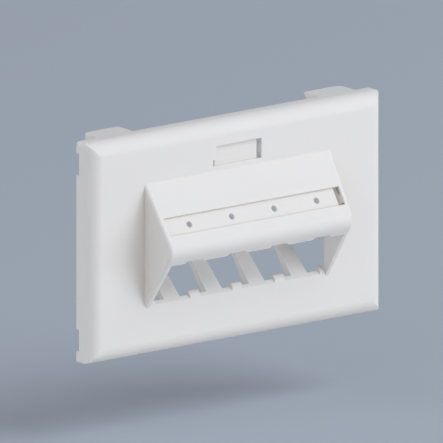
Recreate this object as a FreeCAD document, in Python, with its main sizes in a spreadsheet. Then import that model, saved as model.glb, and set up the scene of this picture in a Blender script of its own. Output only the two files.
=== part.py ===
import FreeCAD, Part
import Sketcher
import math
import os

# Sloped faceplate: one moulding. X runs to the right, Y back into the wall, Z up.
# The back rim seats on the plane Y = 0 and the front looks along -Y.

SIZES = {
    "plate_width": 114.3,
    "plate_height": 69.85,
    "plate_depth": 7.0,
    "edge_round": 4.6,
    "corner_round": 1.0,
    "wall": 2.0,
    "hood_height": 39.4,
    "hood_slope": 34.3,
    "hood_draft": 3.4,
    "hood_soft_edge": 1.0,
    "nose_radius": 5.0,
    "lip_length": 2.4,
    "cavity_round": 1.8,
    "cavity_corner": 1.5,
    "floor_margin": 0.6,
    "ledge": 1.0,
    "port_pitch": 16.5,
    "port_margin": 1.15,
    "notch_root": 5.6,
    "notch_mouth": 7.2,
    "notch_depth": 0.8,
    "nub_width": 3.9,
    "end_nub_width": 2.1,
    "nub_rise": 1.1,
    "nub_bevel": 0.9,
    "finger_root": 6.1,
    "finger_tip": 5.2,
    "finger_thick": 2.7,
    "finger_end": 1.0,
    "finger_length": 14.0,
    "strip_margin": 2.1,
    "strip_height": 6.1,
    "strip_gap": 2.3,
    "recess_depth": 0.9,
    "pry_width": 1.8,
    "hole_diameter": 2.0,
    "tag_length": 18.8,
    "tag_height": 6.3,
    "tag_gap": 1.4,
    "slot_skin": 0.7,
    "strip_relief": 0.9,
    "strip_catch_base": 0.9,
    "tag_relief": 1.6,
    "tag_catch_base": 1.5,
    "catch_height": 3.0,
    "tag_slot_width": 1.3,
    "heel_width": 1.15,
    "heel_height": 2.0,
    "tab_inset": 7.05,
    "tab_width": 13.95,
    "tab_shift": 1.0,
    "tab_reach": 7.5,
    "tab_root": 1.0,
    "tab_thick": 2.75,
    "tab_edge": 0.45,
    "tab_corner": 2.5,
    "rim_notch_inset": 3.7,
    "rim_notch_length": 6.9,
    "rim_notch_depth": 1.3,
}
OVERLAP = 1.0

doc = FreeCAD.newDocument("sloped_faceplate")
sheet = doc.addObject("Spreadsheet::Sheet", "sizes")
for row, (alias, number) in enumerate(SIZES.items(), start=1):
    sheet.set(f"A{row}", alias)
    sheet.set(f"B{row}", str(number))
    sheet.setAlias(f"B{row}", alias)
doc.recompute()

body = doc.addObject("PartDesign::Body", "faceplate")
body.Label = "faceplate"


def size(expression):
    return float(body.evalExpression(expression))


def origin_feature(role):
    for feature in body.Origin.OriginFeatures:
        if feature.Role == role:
            return feature
    raise RuntimeError(f"no origin feature {role}")


def bind(target, path, expression):
    target.setExpression(path, expression)


def new_sketch(name, role, base=("0", "0", "0"), tilt=None):
    sketch = body.newObject("Sketcher::SketchObject", name)
    sketch.AttachmentSupport = [(origin_feature(role), "")]
    sketch.MapMode = "FlatFace"
    turn = FreeCAD.Rotation(FreeCAD.Vector(1, 0, 0), size(tilt) if tilt else 0)
    place = FreeCAD.Vector(*[size(part) for part in base])
    sketch.AttachmentOffset = FreeCAD.Placement(place, turn)
    for axis, part in zip("xyz", base):
        if part != "0":
            bind(sketch, f"AttachmentOffset.Base.{axis}", part)
    if tilt:
        bind(sketch, "AttachmentOffset.Rotation.Angle", f"({tilt}) * 1 deg")
    return sketch


def fix(sketch, kind, expression, *where):
    rule = Sketcher.Constraint(kind, *where, size(expression))
    bind(sketch, f"Constraints[{sketch.addConstraint(rule)}]", expression)


def outline(sketch, corners):
    """Closed outline. A corner is (x, y), or (x, y, centre x, centre y, radius) where an
    arc, anticlockwise about that centre, leads on to the next corner."""
    count = len(corners)
    first = sketch.GeometryCount
    spots = [FreeCAD.Vector(size(corner[0]), size(corner[1]), 0) for corner in corners]
    for index, corner in enumerate(corners):
        start = spots[index]
        end = spots[(index + 1) % count]
        if len(corner) == 2:
            sketch.addGeometry(Part.LineSegment(start, end))
            continue
        centre = FreeCAD.Vector(size(corner[2]), size(corner[3]), 0)
        angles = [math.atan2(spot.y - centre.y, spot.x - centre.x) for spot in (start, end)]
        if angles[1] < angles[0]:
            angles[1] += 2 * math.pi
        circle = Part.Circle(centre, FreeCAD.Vector(0, 0, 1), size(corner[4]))
        sketch.addGeometry(Part.ArcOfCircle(circle, *angles))
    for index, corner in enumerate(corners):
        here = first + index
        after = first + (index + 1) % count
        sketch.addConstraint(Sketcher.Constraint("Coincident", here, 2, after, 1))
        fix(sketch, "DistanceX", corner[0], -1, 1, here, 1)
        fix(sketch, "DistanceY", corner[1], -1, 1, here, 1)
        if len(corner) > 2:
            fix(sketch, "Radius", corner[4], here)


def rectangle(sketch, left, bottom, right, top):
    outline(sketch, [(left, bottom), (right, bottom), (right, top), (left, top)])


def grow(kind, name, sketch, length, symmetric=False, reverse=False):
    feature = body.newObject(f"PartDesign::{kind}", name)
    feature.Profile = sketch
    feature.Reversed = reverse
    if symmetric:
        feature.SideType = "Symmetric"
    bind(feature, "Length", length)
    sketch.Visibility = False
    doc.recompute()
    return feature


def pad(name, sketch, length, **options):
    before = volume()
    feature = grow("Pad", name, sketch, length, **options)
    if volume() < before + 0.01:
        raise RuntimeError(f"{name} adds nothing")
    return feature


def pocket(name, sketch, length, **options):
    before = volume()
    feature = grow("Pocket", name, sketch, length, **options)
    if volume() > before - 0.01:
        raise RuntimeError(f"{name} cuts nothing")
    return feature


def volume():
    return 0.0 if body.Tip is None else body.Tip.Shape.Volume


def row_of(name, feature, count, pitch):
    pattern = body.newObject("PartDesign::LinearPattern", name)
    pattern.Originals = [feature]
    pattern.Direction = (origin_feature("X_Axis"), [""])
    pattern.Occurrences = count
    bind(pattern, "Length", f"{count - 1} * {pitch}")
    body.Tip = pattern
    doc.recompute()
    return pattern


def soften(name, radius, chosen):
    base = body.Tip
    edges = [f"Edge{n}" for n, edge in enumerate(base.Shape.Edges, start=1) if chosen(edge)]
    if not edges:
        raise RuntimeError(f"{name} finds no edge")
    fillet = body.newObject("PartDesign::Fillet", name)
    fillet.Base = (base, edges)
    bind(fillet, "Radius", radius)
    doc.recompute()
    return fillet


def lies_at(edge, y):
    return all(abs(vertex.Y - y) < 1e-4 for vertex in edge.Vertexes)


# Values that several features share, as expressions of the sheet's cells.
HALF_W = "sizes.plate_width / 2"
HALF_H = "sizes.plate_height / 2"
DEPTH = "sizes.plate_depth"
WALL = "sizes.wall"
INNER = f"({DEPTH} - {WALL})"
PITCH = "sizes.port_pitch"
HOOD_WIDTH = f"(4 * {PITCH} + 2 * (sizes.port_margin + {WALL}))"
HALF_HOOD = f"({HOOD_WIDTH} / 2)"
HOOD_TOP = "sizes.hood_height / 2"
SIN = "sin(sizes.hood_slope * 1 deg)"
COS = "cos(sizes.hood_slope * 1 deg)"
TAN = "tan(sizes.hood_slope * 1 deg)"
NOSE = "sizes.nose_radius"
NOSE_IN = f"({NOSE} - {WALL})"
NOSE_FORWARD = f"({DEPTH} + {TAN} * {HOOD_TOP} - {NOSE} / {COS})"
NOSE_TIP = f"({NOSE_FORWARD} + {NOSE})"
CAVITY_TOP = f"({HOOD_TOP} - {WALL} * (1 / {COS} - 1) / {TAN})"
SIDE_DRAFT = "tan(sizes.hood_draft * 1 deg)"
HALF_CAVITY = f"({HALF_HOOD} - {WALL})"
CAVITY_NOSE = f"(2 * ({HALF_CAVITY} - {SIDE_DRAFT} * ({NOSE_TIP} - {DEPTH})))"
CAVITY_REAR = f"(2 * ({HALF_CAVITY} + {SIDE_DRAFT} * {DEPTH}))"
LIP = "sizes.lip_length"
FLOOR = f"({HOOD_TOP} - sizes.floor_margin)"
DIAGONAL = "sqrt(0.5)"

# Tray: a shallow pan whose front edges are rounded and meet in mitred corners.
plate_sketch = new_sketch("plate_sketch", "XZ_Plane")
rectangle(plate_sketch, f"-{HALF_W}", f"-{HALF_H}", HALF_W, HALF_H)
pad("plate", plate_sketch, DEPTH)
soften("plate_edges", "sizes.edge_round", lambda edge: lies_at(edge, -size(DEPTH)))

# Hood: a two-slope section with a rounded nose, trimmed to drafted sides.
hood_sketch = new_sketch("hood_sketch", "YZ_Plane")
outline(hood_sketch, [
    (f"-({DEPTH} - {WALL} / 2)", HOOD_TOP),
    (f"-{DEPTH}", HOOD_TOP),
    (f"-({NOSE_FORWARD} + {NOSE} * {COS})", f"{NOSE} * {SIN}", f"-{NOSE_FORWARD}", "0", NOSE),
    (f"-({NOSE_FORWARD} + {NOSE} * {COS})", f"-{NOSE} * {SIN}"),
    (f"-{DEPTH}", f"-{HOOD_TOP}"),
    (f"-({DEPTH} - {WALL} / 2)", f"-{HOOD_TOP}"),
])
pad("hood", hood_sketch, HOOD_WIDTH, symmetric=True)

draft_sketch = new_sketch("draft_sketch", "XY_Plane")
DRAFT_RUN = f"({NOSE_TIP} - {DEPTH} + {OVERLAP})"
DRAFT_IN = f"({HALF_HOOD} - {SIDE_DRAFT} * {DRAFT_RUN})"
DRAFT_OUT = f"({HALF_HOOD} + {OVERLAP})"
for side in ("", "-"):
    outline(draft_sketch, [
        (f"{side}{HALF_HOOD}", f"-{DEPTH}"),
        (f"{side}{DRAFT_IN}", f"-({DEPTH} + {DRAFT_RUN})"),
        (f"{side}{DRAFT_OUT}", f"-({DEPTH} + {DRAFT_RUN})"),
        (f"{side}{DRAFT_OUT}", f"-{DEPTH}"),
    ])
pocket("hood_draft", draft_sketch, "sizes.hood_height", symmetric=True)


def hood_side_edge(edge):
    front = -size(DEPTH) - 1e-4
    middle = edge.CenterOfMass
    along_side = abs(edge.Vertexes[0].X - edge.Vertexes[-1].X) < 2
    return middle.y < front and along_side and abs(middle.x) > size(HALF_CAVITY)


soften("hood_edges", "sizes.hood_soft_edge", hood_side_edge)

# The tray is hollow behind an even wall.
tray_sketch = new_sketch("tray_sketch", "XZ_Plane")
rectangle(tray_sketch, f"-({HALF_W} - {WALL})", f"-({HALF_H} - {WALL})",
          f"{HALF_W} - {WALL}", f"{HALF_H} - {WALL}")
pocket("tray", tray_sketch, INNER, reverse=True)
soften("tray_edges", f"sizes.edge_round - {WALL}", lambda edge: lies_at(edge, -size(INNER)))

# Corners of the tray, seen from the front, are slightly rounded.
corner_sketch = new_sketch("corner_sketch", "XZ_Plane")
CORNER = "sizes.corner_round"
rectangle(corner_sketch, f"-({HALF_W} + {OVERLAP})", f"-({HALF_H} + {OVERLAP})",
          f"{HALF_W} + {OVERLAP}", f"{HALF_H} + {OVERLAP}")
ARC_X = f"({HALF_W} - {CORNER})"
ARC_Z = f"({HALF_H} - {CORNER})"
outline(corner_sketch, [
    (f"-{ARC_X}", f"-{HALF_H}"),
    (ARC_X, f"-{HALF_H}", ARC_X, f"-{ARC_Z}", CORNER),
    (HALF_W, f"-{ARC_Z}"),
    (HALF_W, ARC_Z, ARC_X, ARC_Z, CORNER),
    (ARC_X, HALF_H),
    (f"-{ARC_X}", HALF_H, f"-{ARC_X}", ARC_Z, CORNER),
    (f"-{HALF_W}", ARC_Z),
    (f"-{HALF_W}", f"-{ARC_Z}", f"-{ARC_X}", f"-{ARC_Z}", CORNER),
])
pocket("corners", corner_sketch, DEPTH, reverse=True)

# Inside of the hood, open to the back and along its underside from lip to floor.
cavity_sketch = new_sketch("cavity_sketch", "YZ_Plane")
outline(cavity_sketch, [
    (f"-({INNER} - {OVERLAP})", CAVITY_TOP),
    (f"-{INNER}", CAVITY_TOP),
    (f"-({NOSE_FORWARD} + {NOSE_IN} * {COS})", f"{NOSE_IN} * {SIN}",
     f"-{NOSE_FORWARD}", "0", NOSE_IN),
    (f"-({NOSE_FORWARD} + {NOSE_IN} * {COS})", f"-{NOSE_IN} * {SIN}"),
    (f"-({NOSE_FORWARD} + {NOSE_IN} * {COS} - {LIP} * {SIN})",
     f"-({NOSE_IN} * {SIN} + {LIP} * {COS})"),
    (f"-({NOSE_FORWARD} + ({NOSE} + {OVERLAP}) * {COS} - {LIP} * {SIN})",
     f"-(({NOSE} + {OVERLAP}) * {SIN} + {LIP} * {COS})"),
    (f"-{NOSE_TIP}", f"-({HOOD_TOP} + {OVERLAP})"),
    (f"-{DEPTH}", f"-({HOOD_TOP} + {OVERLAP})"),
    (f"-{DEPTH}", f"-{FLOOR}"),
    (f"-({DEPTH} - sizes.ledge)", f"-({FLOOR} - sizes.ledge)"),
    (f"-({INNER} - {OVERLAP})", f"-({FLOOR} - sizes.ledge)"),
])
cavity = pocket("hood_cavity", cavity_sketch, CAVITY_NOSE, symmetric=True)

# The cavity's side walls open out from the nose with the hood's own sides, so that their wall stays even.
nose_plane = body.newObject("PartDesign::Plane", "nose_plane")
nose_plane.AttachmentSupport = [(origin_feature("XZ_Plane"), "")]
nose_plane.MapMode = "FlatFace"
bind(nose_plane, "AttachmentOffset.Base.z", NOSE_TIP)
nose_plane.Visibility = False
doc.recompute()
cavity_sides = []
for number, face in enumerate(cavity.Shape.Faces, start=1):
    if abs(abs(face.CenterOfMass.x) - size(CAVITY_NOSE) / 2) < 1e-4:
        cavity_sides.append(f"Face{number}")
drafted = body.newObject("PartDesign::Draft", "cavity_draft")
drafted.Base = (cavity, cavity_sides)
doc.recompute()
drafted.NeutralPlane = (nose_plane, [""])
drafted.Reversed = True
bind(drafted, "Angle", "sizes.hood_draft * 1 deg")
doc.recompute()


def beside_cavity(edge):
    middle = edge.CenterOfMass
    return size(HALF_CAVITY) < abs(middle.x) < size(CAVITY_REAR) / 2 and middle.y > -size(DEPTH)


def cavity_corner_edge(edge):
    return beside_cavity(edge) and edge.CenterOfMass.z < -size(f"{FLOOR} - sizes.ledge") + 1e-4


def cavity_rear_edge(edge):
    return beside_cavity(edge) and lies_at(edge, -size(INNER))


# Round inside corners beside the floor, and round rear edges beside the plate's back.
soften("cavity_corners", "sizes.cavity_corner", cavity_corner_edge)
soften("cavity_edges", "sizes.cavity_round", cavity_rear_edge)

# Notches in the lip, one over each port.
LIP_EDGE = f"({NOSE} * {SIN} + {LIP} * {COS})"
notch_sketch = new_sketch("notch_sketch", "XZ_Plane", base=(f"-1.5 * {PITCH}", "0", NOSE_TIP))
outline(notch_sketch, [
    ("-sizes.notch_mouth / 2", f"-({LIP_EDGE} + {OVERLAP})"),
    ("sizes.notch_mouth / 2", f"-({LIP_EDGE} + {OVERLAP})"),
    ("sizes.notch_mouth / 2", f"-{LIP_EDGE}"),
    ("sizes.notch_root / 2", f"-({LIP_EDGE} - sizes.notch_depth)"),
    ("-sizes.notch_root / 2", f"-({LIP_EDGE} - sizes.notch_depth)"),
    ("-sizes.notch_mouth / 2", f"-{LIP_EDGE}"),
])
notch = pocket("lip_notch", notch_sketch, f"{NOSE_TIP} - {DEPTH}")
row_of("lip_notches", notch, 4, PITCH)

# Long label recess on the slope, with a pry slot at one end and a row of holes.
SLOPE = (("0", HOOD_TOP, DEPTH), "-sizes.hood_slope")
STRIP_END = f"({HALF_HOOD} - sizes.strip_margin)"
STRIP_FOOT = f"(({HOOD_TOP} - {NOSE} * {SIN}) / {COS} - sizes.strip_gap)"
STRIP_HEAD = f"({STRIP_FOOT} - sizes.strip_height)"
strip_sketch = new_sketch("strip_sketch", "XZ_Plane", base=SLOPE[0], tilt=SLOPE[1])
rectangle(strip_sketch, f"-{STRIP_END}", f"-{STRIP_FOOT}", STRIP_END, f"-{STRIP_HEAD}")
pocket("strip_recess", strip_sketch, "sizes.recess_depth")

pry_sketch = new_sketch("pry_sketch", "XZ_Plane", base=SLOPE[0], tilt=SLOPE[1])
rectangle(pry_sketch, f"{STRIP_END} - sizes.pry_width", f"-{STRIP_FOOT}", STRIP_END, f"-{STRIP_HEAD}")
pocket("strip_pry_slot", pry_sketch, f"{WALL} + {OVERLAP}")


def slot_relief(name, base, tilt, end, foot, head, reach, catch_base):
    """Undercuts the wall at the end of a slot, below and above the catch that is left there."""
    sketch = new_sketch(f"{name}_sketch", "XZ_Plane", base=base, tilt=tilt)
    catch_foot = f"{foot} + {catch_base}"
    rectangle(sketch, f"{end} - {OVERLAP}", foot, f"{end} + {reach}", catch_foot)
    rectangle(sketch, f"{end} - {OVERLAP}", f"{catch_foot} + sizes.catch_height", f"{end} + {reach}", head)
    pocket(name, sketch, f"{WALL} - sizes.slot_skin", reverse=True)


SLOPE_BACK = ("0", f"{HOOD_TOP} - {WALL} * {SIN}", f"{DEPTH} - {WALL} * {COS}")
slot_relief("strip_relief", SLOPE_BACK, SLOPE[1], STRIP_END, f"-{STRIP_FOOT}", f"-{STRIP_HEAD}",
            "sizes.strip_relief", "sizes.strip_catch_base")

HOLE_BASE = (f"-1.5 * {PITCH}", HOOD_TOP, DEPTH)
hole_sketch = new_sketch("hole_sketch", "XZ_Plane", base=HOLE_BASE, tilt=SLOPE[1])
HOLE_DROP = f"({STRIP_FOOT} - sizes.strip_height / 2)"
hole_centre = FreeCAD.Vector(0, -size(HOLE_DROP), 0)
hole_radius = size("sizes.hole_diameter / 2")
hole_sketch.addGeometry(Part.Circle(hole_centre, FreeCAD.Vector(0, 0, 1), hole_radius))
fix(hole_sketch, "DistanceX", "0", -1, 1, 0, 3)
fix(hole_sketch, "DistanceY", f"-{HOLE_DROP}", -1, 1, 0, 3)
fix(hole_sketch, "Radius", "sizes.hole_diameter / 2", 0)
hole = pocket("strip_hole", hole_sketch, f"{WALL} + {OVERLAP}")
row_of("strip_holes", hole, 4, PITCH)

# Small label recess above the hood, with a slot at one end and a heel notch at the other.
TAG_END = "sizes.tag_length / 2"
TAG_HEEL = f"({TAG_END} - sizes.heel_width)"
TAG_BASE = f"({HOOD_TOP} + sizes.tag_gap)"
TAG_TOP = f"({TAG_BASE} + sizes.tag_height)"
FRONT = ("0", "0", DEPTH)
BEHIND = ("0", "0", INNER)
tag_sketch = new_sketch("tag_sketch", "XZ_Plane", base=FRONT)
rectangle(tag_sketch, f"-{TAG_HEEL}", TAG_BASE, TAG_END, TAG_TOP)
pocket("tag_recess", tag_sketch, "sizes.recess_depth")

tag_slot_sketch = new_sketch("tag_slot_sketch", "XZ_Plane", base=FRONT)
rectangle(tag_slot_sketch, f"{TAG_END} - sizes.tag_slot_width", TAG_BASE, TAG_END, TAG_TOP)
rectangle(tag_slot_sketch, f"-{TAG_END}", TAG_BASE, f"-{TAG_HEEL}", f"{TAG_BASE} + sizes.heel_height")
pocket("tag_slots", tag_slot_sketch, f"{WALL} + {OVERLAP}")

slot_relief("tag_relief", BEHIND, None, TAG_END, TAG_BASE, TAG_TOP,
            "sizes.tag_relief", "sizes.tag_catch_base")

# Slanted fingers rising back from the floor edge, one behind each port.
ROOT_STEP = "sizes.ledge"
ROOT_BASE = (f"-1.5 * {PITCH}", f"-({DEPTH} - {ROOT_STEP})", f"-({FLOOR} - {ROOT_STEP})")
FINGER_RUN = f"({ROOT_STEP} + sizes.finger_length * {DIAGONAL})"
TIP_BASE = (f"-1.5 * {PITCH}", f"-({DEPTH} - {FINGER_RUN})", f"-({FLOOR} - {FINGER_RUN})")
root_sketch = new_sketch("finger_root_sketch", "XY_Plane", base=ROOT_BASE, tilt="-45")
rectangle(root_sketch, "-sizes.finger_root / 2", "0", "sizes.finger_root / 2", "sizes.finger_thick")
tip_sketch = new_sketch("finger_tip_sketch", "XY_Plane", base=TIP_BASE, tilt="-45")
rectangle(tip_sketch, "-sizes.finger_tip / 2", "0", "sizes.finger_tip / 2", "sizes.finger_end")
finger = body.newObject("PartDesign::AdditiveLoft", "finger")
finger.Profile = root_sketch
finger.Sections = [tip_sketch]
doc.recompute()
row_of("fingers", finger, 4, PITCH)

# Nubs on the floor edge at the port boundaries, bevelled towards the back.
NUB_FACE = f"({FLOOR} - sizes.nub_rise)"


def nub_row(name, left, width, count, pitch):
    sketch = new_sketch(f"{name}_sketch", "YZ_Plane", base=("0", "0", left))
    outline(sketch, [
        (f"-{INNER}", f"-{NUB_FACE} + sizes.nub_bevel"),
        (f"-({DEPTH} - sizes.nub_bevel)", f"-{NUB_FACE} + sizes.nub_bevel"),
        (f"-{DEPTH}", f"-{NUB_FACE}"),
        (f"-{DEPTH}", f"-({FLOOR} + {OVERLAP} / 2)"),
        (f"-{INNER}", f"-({FLOOR} + {OVERLAP} / 2)"),
    ])
    row_of(f"{name}s", pad(name, sketch, width, symmetric=True), count, pitch)


nub_row("nub", f"-{PITCH}", "sizes.nub_width", 3, PITCH)
END_NUB = f"({HALF_CAVITY} - (sizes.end_nub_width - {OVERLAP}) / 2)"
nub_row("end_nub", f"-{END_NUB}", f"sizes.end_nub_width + {OVERLAP}", 2, f"(2 * {END_NUB})")

# Clip tabs behind the top and bottom rims, with a lead-in on the inner side.
TAB_OUTER = f"({HALF_W} - sizes.tab_inset)"
TAB_INNER = f"({TAB_OUTER} - sizes.tab_width)"
TAB_ARC = f"({TAB_OUTER} - sizes.tab_corner)"
REACH = "sizes.tab_reach"
REACH_ARC = f"({REACH} - sizes.tab_corner)"
ROUND = "sizes.tab_corner"
SHIFT = "sizes.tab_shift"


def tab_outlines(sketch):
    outline(sketch, [
        (f"{SHIFT} + {TAB_INNER}", "-sizes.tab_root"),
        (f"{SHIFT} + {TAB_OUTER}", "-sizes.tab_root"),
        (f"{SHIFT} + {TAB_OUTER}", REACH_ARC, f"{SHIFT} + {TAB_ARC}", REACH_ARC, ROUND),
        (f"{SHIFT} + {TAB_ARC}", REACH),
        (f"{SHIFT} + {TAB_INNER}", REACH),
    ])
    outline(sketch, [
        (f"{SHIFT} - {TAB_INNER}", "-sizes.tab_root"),
        (f"{SHIFT} - {TAB_INNER}", REACH),
        (f"{SHIFT} - {TAB_ARC}", REACH, f"{SHIFT} - {TAB_ARC}", REACH_ARC, ROUND),
        (f"{SHIFT} - {TAB_OUTER}", REACH_ARC),
        (f"{SHIFT} - {TAB_OUTER}", "-sizes.tab_root"),
    ])


top_tabs = new_sketch("top_tabs_sketch", "XY_Plane", base=("0", "0", HALF_H))
tab_outlines(top_tabs)
pad("top_tabs", top_tabs, "sizes.tab_thick", reverse=True)
bottom_tabs = new_sketch("bottom_tabs_sketch", "XY_Plane", base=("0", "0", f"-{HALF_H}"))
tab_outlines(bottom_tabs)
pad("bottom_tabs", bottom_tabs, "sizes.tab_thick")

lead_sketch = new_sketch("lead_sketch", "YZ_Plane")
TAB_UNDER = f"({HALF_H} - sizes.tab_thick)"
LEAD = "(sizes.tab_thick - sizes.tab_edge)"
for side in ("", "-"):
    outline(lead_sketch, [
        (f"{REACH} - {LEAD} - {OVERLAP}", f"{side}({TAB_UNDER} - {OVERLAP})"),
        (f"{REACH} + {OVERLAP}", f"{side}({TAB_UNDER} - {OVERLAP})"),
        (f"{REACH} + {OVERLAP}", f"{side}({TAB_UNDER} + {LEAD} + {OVERLAP})"),
    ])
pocket("tab_lead_in", lead_sketch, "sizes.plate_width", symmetric=True)

# Shallow notches in the back edge of both side rims.
rim_sketch = new_sketch("rim_notch_sketch", "YZ_Plane")
RIM_TOP = f"({HALF_H} - sizes.rim_notch_inset)"
RIM_BASE = f"({RIM_TOP} - sizes.rim_notch_length)"
for side in ("", "-"):
    outline(rim_sketch, [
        ("-sizes.rim_notch_depth", f"{side}{RIM_BASE}"),
        (f"{OVERLAP}", f"{side}{RIM_BASE}"),
        (f"{OVERLAP}", f"{side}{RIM_TOP}"),
        ("-sizes.rim_notch_depth", f"{side}{RIM_TOP}"),
    ])
pocket("rim_notches", rim_sketch, f"sizes.plate_width + {OVERLAP}", symmetric=True)

doc.recompute()
for item in doc.Objects:
    if "Invalid" in item.State or "Error" in item.State:
        raise RuntimeError(f"{item.Name} is {item.State}")
if body.Shape.isNull() or not body.Shape.isValid() or len(body.Shape.Solids) != 1:
    raise RuntimeError("faceplate is not one valid solid")

os.makedirs("parts", exist_ok=True)
body.Shape.exportStep("parts/faceplate.step")
box = body.Shape.BoundBox
print(f"faceplate {box.XLength:.2f} x {box.YLength:.2f} x {box.ZLength:.2f} mm, "
      f"{body.Shape.Volume:.1f} mm3, {len(body.Shape.Faces)} faces")
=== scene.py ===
import math

import bpy
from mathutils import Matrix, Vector


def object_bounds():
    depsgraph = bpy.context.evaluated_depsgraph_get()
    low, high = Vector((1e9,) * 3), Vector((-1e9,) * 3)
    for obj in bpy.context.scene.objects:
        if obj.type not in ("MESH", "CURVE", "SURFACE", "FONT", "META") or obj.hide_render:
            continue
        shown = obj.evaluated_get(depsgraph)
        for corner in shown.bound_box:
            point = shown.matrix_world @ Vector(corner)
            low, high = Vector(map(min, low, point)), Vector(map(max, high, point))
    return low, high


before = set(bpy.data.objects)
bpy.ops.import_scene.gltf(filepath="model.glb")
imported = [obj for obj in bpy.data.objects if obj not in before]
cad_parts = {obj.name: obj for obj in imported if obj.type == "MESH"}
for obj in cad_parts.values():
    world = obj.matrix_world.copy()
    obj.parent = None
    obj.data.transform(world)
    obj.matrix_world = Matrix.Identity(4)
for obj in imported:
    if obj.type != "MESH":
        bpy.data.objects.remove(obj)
CAD_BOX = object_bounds()

bl_info = {
    "name": "Sloped faceplate",
    "version": (1, 0, 0),
    "blender": (4, 5, 0),
    "location": "View3D > Sidebar > Faceplate",
    "description": "Dresses the sloped faceplate in matt moulded plastic and sets its stage",
    "category": "Object",
}

MILLI = 0.001
WHITE = (1.0, 1.0, 1.0, 1.0)

# Sockets of a colour Mix node: its factor, its two colours and its result.
MIX_FACTOR, MIX_FIRST, MIX_SECOND, MIX_RESULT = 0, 6, 7, 2

# Plastic: how fine its patterns are, and how much each counts in colour, roughness and relief.
NOISE_MEAN = 0.5
CLOUDS_PER_METRE = 38.0
SPECKS_PER_GRAIN = 0.45
CLOUD_TINT = 0.7
SPECK_TINT = 0.25
CLOUD_ROUGHNESS = 0.06
SPECK_ROUGHNESS = 0.10
EDGE_POLISH = 0.3
GRAIN_RELIEF = 0.6
SPECK_RELIEF = 0.4
RELIEF_STRENGTH = 0.55
FLOW_TINT = (0.985, 0.980, 0.972)
# Painted shade: the plastic's colour is darkened and warmed towards this tint in its hollows, which are
# found by ambient occlusion within this reach.
PAINTED_SHADE_TINT = (0.94, 0.90, 0.82)
PAINTED_SHADE_REACH = 20.0 * MILLI

# Floor: half its side in metres, and its mottle.
FLOOR_REACH = 6.0
MOTTLE_PER_METRE = 3.0
MOTTLE_SHARE = 0.4
MOTTLE_TINT = (0.97, 0.97, 0.97)

# Lamps: name, turn and lift in degrees, and height. Heights and the width are shares of the lamp's distance.
LAMPS = (("softbox", 30.0, 47.0, 0.58), ("strip_lamp", 43.0, 5.0, 0.10))
LAMP_WIDTH = 0.68

# The point that lies in the middle of the image.
VIEW_TARGET = Vector((-0.74, 0.0, 1.15)) * MILLI


class Val:
    """A shader socket that takes part in arithmetic."""

    def __init__(self, finish, socket):
        self.finish = finish
        self.socket = socket

    def math(self, operation, left, right):
        return self.finish.node("Math", {"operation": operation}, {0: left, 1: right}, "Value")

    def __add__(self, other):
        return self.math("ADD", self, other)

    __radd__ = __add__

    def __sub__(self, other):
        return self.math("SUBTRACT", self, other)

    def __rsub__(self, other):
        return self.math("SUBTRACT", other, self)

    def __mul__(self, other):
        return self.math("MULTIPLY", self, other)

    __rmul__ = __mul__


class Finish:
    """The shader of a material or of the room, under construction."""

    def __init__(self, owner):
        owner.use_nodes = True
        self.owner = owner
        self.tree = owner.node_tree
        self.tree.nodes.clear()

    def node(self, kind, settings, inputs, output=0):
        """Makes a node: its settings first, then the values or links of its sockets."""
        node = self.tree.nodes.new("ShaderNode" + kind)
        for name, value in settings.items():
            setattr(node, name, value)
        for name, value in inputs.items():
            if isinstance(value, Val):
                self.tree.links.new(value.socket, node.inputs[name])
            else:
                node.inputs[name].default_value = value
        if node.outputs:
            return Val(self, node.outputs[output])

    def blend(self, amount, first, second):
        """Mixes two colours."""
        return self.node("Mix", {"data_type": "RGBA"},
                         {MIX_FACTOR: amount, MIX_FIRST: first, MIX_SECOND: second}, MIX_RESULT)

    def noise(self, where, scale, detail, roughness):
        """A cloudy pattern of values about the mean."""
        return self.node("TexNoise", {}, {"Vector": where, "Scale": scale, "Detail": detail,
                                          "Roughness": roughness}, "Fac")

    def surface(self, **sockets):
        """Closes the material with one shader; underscores in socket names stand for spaces."""
        inputs = {name.replace("_", " "): value for name, value in sockets.items()}
        shader = self.node("BsdfPrincipled", {}, inputs, "BSDF")
        self.node("OutputMaterial", {}, {"Surface": shader})
        return self.owner


def shade(colour, factors=(1.0, 1.0, 1.0)):
    """A colour with its channels scaled, as a shader colour."""
    return tuple(part * factor for part, factor in zip(colour, factors)) + (1.0,)


class MouldingSettings(bpy.types.PropertyGroup):
    colour: bpy.props.FloatVectorProperty(
        name="Colour", description="Colour of the plastic",
        subtype="COLOR", size=3, min=0, max=1, default=(0.796, 0.800, 0.818))
    roughness: bpy.props.FloatProperty(
        name="Roughness", description="Mean roughness of the matt skin",
        subtype="FACTOR", min=0, max=1, default=0.52)
    grain: bpy.props.FloatProperty(
        name="Grain", description="Size of the fine spark-eroded grain",
        unit="LENGTH", default=0.22 * MILLI)
    grain_depth: bpy.props.FloatProperty(
        name="Grain depth", description="Height of the grain",
        unit="LENGTH", default=0.006 * MILLI)
    soft_edge: bpy.props.FloatProperty(
        name="Soft edge", description="Rounding that moulding leaves on crisp edges",
        unit="LENGTH", default=0.22 * MILLI)
    scatter: bpy.props.FloatProperty(
        name="Scatter", description="How far light spreads inside the plastic",
        unit="LENGTH", default=1.2 * MILLI)
    crease: bpy.props.FloatProperty(
        name="Crease angle", description="Edges sharper than this stay crisp",
        subtype="ANGLE", default=math.radians(28))


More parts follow.
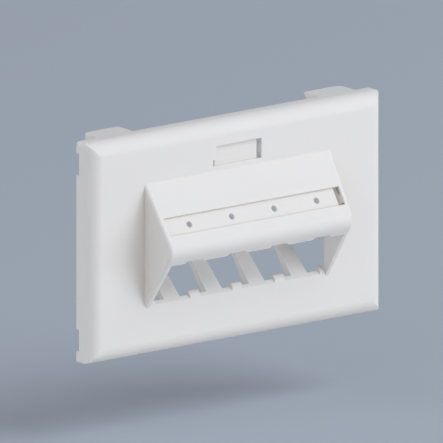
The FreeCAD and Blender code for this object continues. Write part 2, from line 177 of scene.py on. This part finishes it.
class StageSettings(bpy.types.PropertyGroup):
    floor_colour: bpy.props.FloatVectorProperty(
        name="Floor", description="Colour in which the plain floor is seen",
        subtype="COLOR", size=3, min=0, max=1, default=(0.46, 0.52, 0.62))
    floor_drop: bpy.props.FloatProperty(
        name="Floor drop", description="How far below the plate the floor lies",
        unit="LENGTH", default=25.0 * MILLI)
    floor_bounce: bpy.props.FloatVectorProperty(
        name="Floor bounce", description="Neutral colour with which the floor lights the plate",
        subtype="COLOR", size=3, min=0, max=1, default=(0.70, 0.70, 0.70))
    ambient: bpy.props.FloatProperty(
        name="Room light", description="Even light from all round", default=0.24)
    left_fill: bpy.props.FloatProperty(
        name="Left fill", description="Further room light from the left", default=0.92)
    softbox_power: bpy.props.FloatProperty(
        name="Softbox", description="Power of the large lamp that hangs in front",
        unit="POWER", default=34.5)
    strip_power: bpy.props.FloatProperty(
        name="Strip lamp", description="Power of the low wide lamp at the right",
        unit="POWER", default=30.0)
    lamp_distance: bpy.props.FloatProperty(
        name="Lamp distance", description="How far off both lamps are",
        unit="LENGTH", default=3.0)
    azimuth: bpy.props.FloatProperty(
        name="Azimuth", description="Viewing angle round the plate",
        subtype="ANGLE", default=math.radians(-37.9))
    elevation: bpy.props.FloatProperty(
        name="Elevation", description="Viewing angle above the horizon",
        subtype="ANGLE", default=math.radians(13.8))
    view_width: bpy.props.FloatProperty(
        name="View width", description="Width that the square image covers at the plate",
        unit="LENGTH", default=135.85 * MILLI)
    view_distance: bpy.props.FloatProperty(
        name="View distance", description="How far off the parallel camera stands",
        unit="LENGTH", default=1.0)


def moulded_plastic(settings):
    """Matt near-white plastic: fine eroded grain, faint flow clouds, painted shade that darkens and
    warms its hollows, and edges that are a touch smoother than the flats."""
    finish = Finish(bpy.data.materials.new("moulded_plastic"))
    where = finish.node("TexCoord", {}, {}, "Object")
    clouds = finish.noise(where, CLOUDS_PER_METRE, detail=3.0, roughness=0.55)
    specks = finish.noise(where, SPECKS_PER_GRAIN / settings.grain, detail=2.0, roughness=0.6)
    grain = finish.node("TexVoronoi", {"feature": "SMOOTH_F1"},
                        {"Vector": where, "Scale": 1.0 / settings.grain, "Smoothness": 0.6}, "Distance")
    # Painted shade: ambient occlusion marks the hollows, whose colour is darkened and warmed below.
    painted_shade_ao = finish.node("AmbientOcclusion", {"samples": 8, "only_local": True},
                           {"Distance": PAINTED_SHADE_REACH}, "AO")
    crisp = finish.node("Bevel", {"samples": 6}, {"Radius": settings.soft_edge}, "Normal")
    flat = finish.node("NewGeometry", {}, {}, "Normal")
    facing = finish.node("VectorMath", {"operation": "DOT_PRODUCT"}, {0: crisp, 1: flat}, "Value")
    tint = tuple(settings.colour)
    skin = finish.blend(clouds * CLOUD_TINT + specks * SPECK_TINT, shade(tint), shade(tint, FLOW_TINT))
    # Painted shade: darker, warmer colour where the plastic is occluded.
    skin = finish.blend(1 - painted_shade_ao, skin, shade(tint, PAINTED_SHADE_TINT))
    rough = (settings.roughness + (specks - NOISE_MEAN) * SPECK_ROUGHNESS
             + (clouds - NOISE_MEAN) * CLOUD_ROUGHNESS - (1 - facing) * EDGE_POLISH)
    relief = grain * GRAIN_RELIEF + specks * SPECK_RELIEF
    bump = finish.node("Bump", {}, {"Strength": RELIEF_STRENGTH, "Distance": settings.grain_depth,
                                    "Height": relief, "Normal": crisp}, "Normal")
    return finish.surface(Base_Color=skin, Roughness=rough, Normal=bump, IOR=1.49, Specular_IOR_Level=0.35,
                          Subsurface_Weight=0.4, Subsurface_Radius=(1.0, 0.9, 0.8),
                          Subsurface_Scale=settings.scatter)


def floor_paint(settings):
    """Plain pale floor with the faintest mottle, neutral in the light that it throws back."""
    finish = Finish(bpy.data.materials.new("floor_paint"))
    where = finish.node("TexCoord", {}, {}, "Object")
    mottle = finish.noise(where, MOTTLE_PER_METRE, detail=2.0, roughness=0.5)
    tint = tuple(settings.floor_colour)
    paint = finish.blend(mottle * MOTTLE_SHARE, shade(tint), shade(tint, MOTTLE_TINT))
    rays = [finish.node("LightPath", {}, {}, name)
            for name in ("Is Camera Ray", "Is Glossy Ray", "Is Transmission Ray")]
    seen = rays[0] + rays[1] + rays[2]
    colour = finish.blend(seen, shade(settings.floor_bounce), paint)
    return finish.surface(Base_Color=colour, Roughness=0.9, Specular_IOR_Level=0.1)


def room_light(settings):
    """White light from all round that grows stronger towards the left."""
    room = Finish(bpy.data.worlds.new("room"))
    way = room.node("TexCoord", {}, {}, "Generated")
    across = room.node("SeparateXYZ", {}, {"Vector": way}, "X")
    leftward = room.node("MapRange", {}, {"Value": across, "From Min": 0.0, "From Max": -1.0}, "Result")
    even, strong = (room.node("Background", {}, {"Color": WHITE, "Strength": level})
                    for level in (settings.ambient, settings.ambient + settings.left_fill))
    light = room.node("MixShader", {}, {0: leftward, 1: even, 2: strong})
    room.node("OutputWorld", {}, {"Surface": light})
    return room.owner


def way_to(turn, lift):
    """The way from the plate to a lamp or camera; a turn of zero is square in front."""
    return Vector((math.sin(turn) * math.cos(lift), -math.cos(turn) * math.cos(lift), math.sin(lift)))


def aim(thing, way):
    """Turns a lamp or camera back to the plate."""
    thing.rotation_mode = "QUATERNION"
    thing.rotation_quaternion = (-way).to_track_quat("-Z", "Y")


class FACEPLATE_OT_dress_moulding(bpy.types.Operator):
    """Gives the moulding its plastic, crisp edges and even shading on flats and rounds"""
    bl_idname = "faceplate.dress_moulding"
    bl_label = "Dress moulding"

    def execute(self, context):
        settings = context.scene.faceplate_moulding
        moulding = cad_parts["faceplate"]
        moulding.data.materials.clear()
        moulding.data.materials.append(moulded_plastic(settings))
        split = moulding.modifiers.new("crisp_edges", "EDGE_SPLIT")
        split.split_angle = settings.crease
        even = moulding.modifiers.new("even_shading", "WEIGHTED_NORMAL")
        even.mode = "FACE_AREA"
        even.weight = 100
        even.keep_sharp = True
        return {"FINISHED"}


class FACEPLATE_OT_set_stage(bpy.types.Operator):
    """Lays the floor, hangs the lamps and places the camera"""
    bl_idname = "faceplate.set_stage"
    bl_label = "Set stage"

    def execute(self, context):
        scene = context.scene
        settings = scene.faceplate_stage
        self.lay_floor(scene, settings)
        self.light(scene, settings)
        self.place_camera(scene, settings)
        scene.view_settings.view_transform = "Standard"
        return {"FINISHED"}

    def lay_floor(self, scene, settings):
        level = CAD_BOX[0].z - settings.floor_drop
        corners = [(-FLOOR_REACH, -FLOOR_REACH, level), (FLOOR_REACH, -FLOOR_REACH, level),
                   (FLOOR_REACH, FLOOR_REACH, level), (-FLOOR_REACH, FLOOR_REACH, level)]
        mesh = bpy.data.meshes.new("floor")
        mesh.from_pydata(corners, [], [(0, 1, 2, 3)])
        mesh.materials.append(floor_paint(settings))
        floor = bpy.data.objects.new("floor", mesh)
        scene.collection.objects.link(floor)

    def light(self, scene, settings):
        scene.world = room_light(settings)
        powers = (settings.softbox_power, settings.strip_power)
        for (name, turn, lift, height), power in zip(LAMPS, powers):
            lamp = bpy.data.lights.new(name, "AREA")
            lamp.shape = "RECTANGLE"
            lamp.size = LAMP_WIDTH * settings.lamp_distance
            lamp.size_y = height * settings.lamp_distance
            lamp.energy = power
            way = way_to(math.radians(turn), math.radians(lift))
            hung = bpy.data.objects.new(name, lamp)
            hung.location = way * settings.lamp_distance
            aim(hung, way)
            scene.collection.objects.link(hung)

    def place_camera(self, scene, settings):
        lens = bpy.data.cameras.new("view")
        lens.type = "ORTHO"
        lens.ortho_scale = settings.view_width
        way = way_to(settings.azimuth, settings.elevation)
        camera = bpy.data.objects.new("view", lens)
        camera.location = VIEW_TARGET + way * settings.view_distance
        aim(camera, way)
        scene.collection.objects.link(camera)
        scene.camera = camera


class FACEPLATE_PT_sidebar(bpy.types.Panel):
    bl_idname = "FACEPLATE_PT_sidebar"
    bl_label = "Sloped faceplate"
    bl_space_type = "VIEW_3D"
    bl_region_type = "UI"
    bl_category = "Faceplate"

    def draw(self, context):
        layout = self.layout
        for group, names in ((context.scene.faceplate_moulding, MouldingSettings.__annotations__),
                             (context.scene.faceplate_stage, StageSettings.__annotations__)):
            column = layout.column()
            for name in names:
                column.prop(group, name)
        layout.operator(FACEPLATE_OT_dress_moulding.bl_idname)
        layout.operator(FACEPLATE_OT_set_stage.bl_idname)


CLASSES = (
    MouldingSettings,
    StageSettings,
    FACEPLATE_OT_dress_moulding,
    FACEPLATE_OT_set_stage,
    FACEPLATE_PT_sidebar,
)


def register():
    for item in CLASSES:
        bpy.utils.register_class(item)
    bpy.types.Scene.faceplate_moulding = bpy.props.PointerProperty(type=MouldingSettings)
    bpy.types.Scene.faceplate_stage = bpy.props.PointerProperty(type=StageSettings)


def unregister():
    del bpy.types.Scene.faceplate_stage
    del bpy.types.Scene.faceplate_moulding
    for item in reversed(CLASSES):
        bpy.utils.unregister_class(item)


def main():
    register()
    bpy.ops.faceplate.dress_moulding()
    bpy.ops.faceplate.set_stage()


if __name__ == "__main__":
    main()
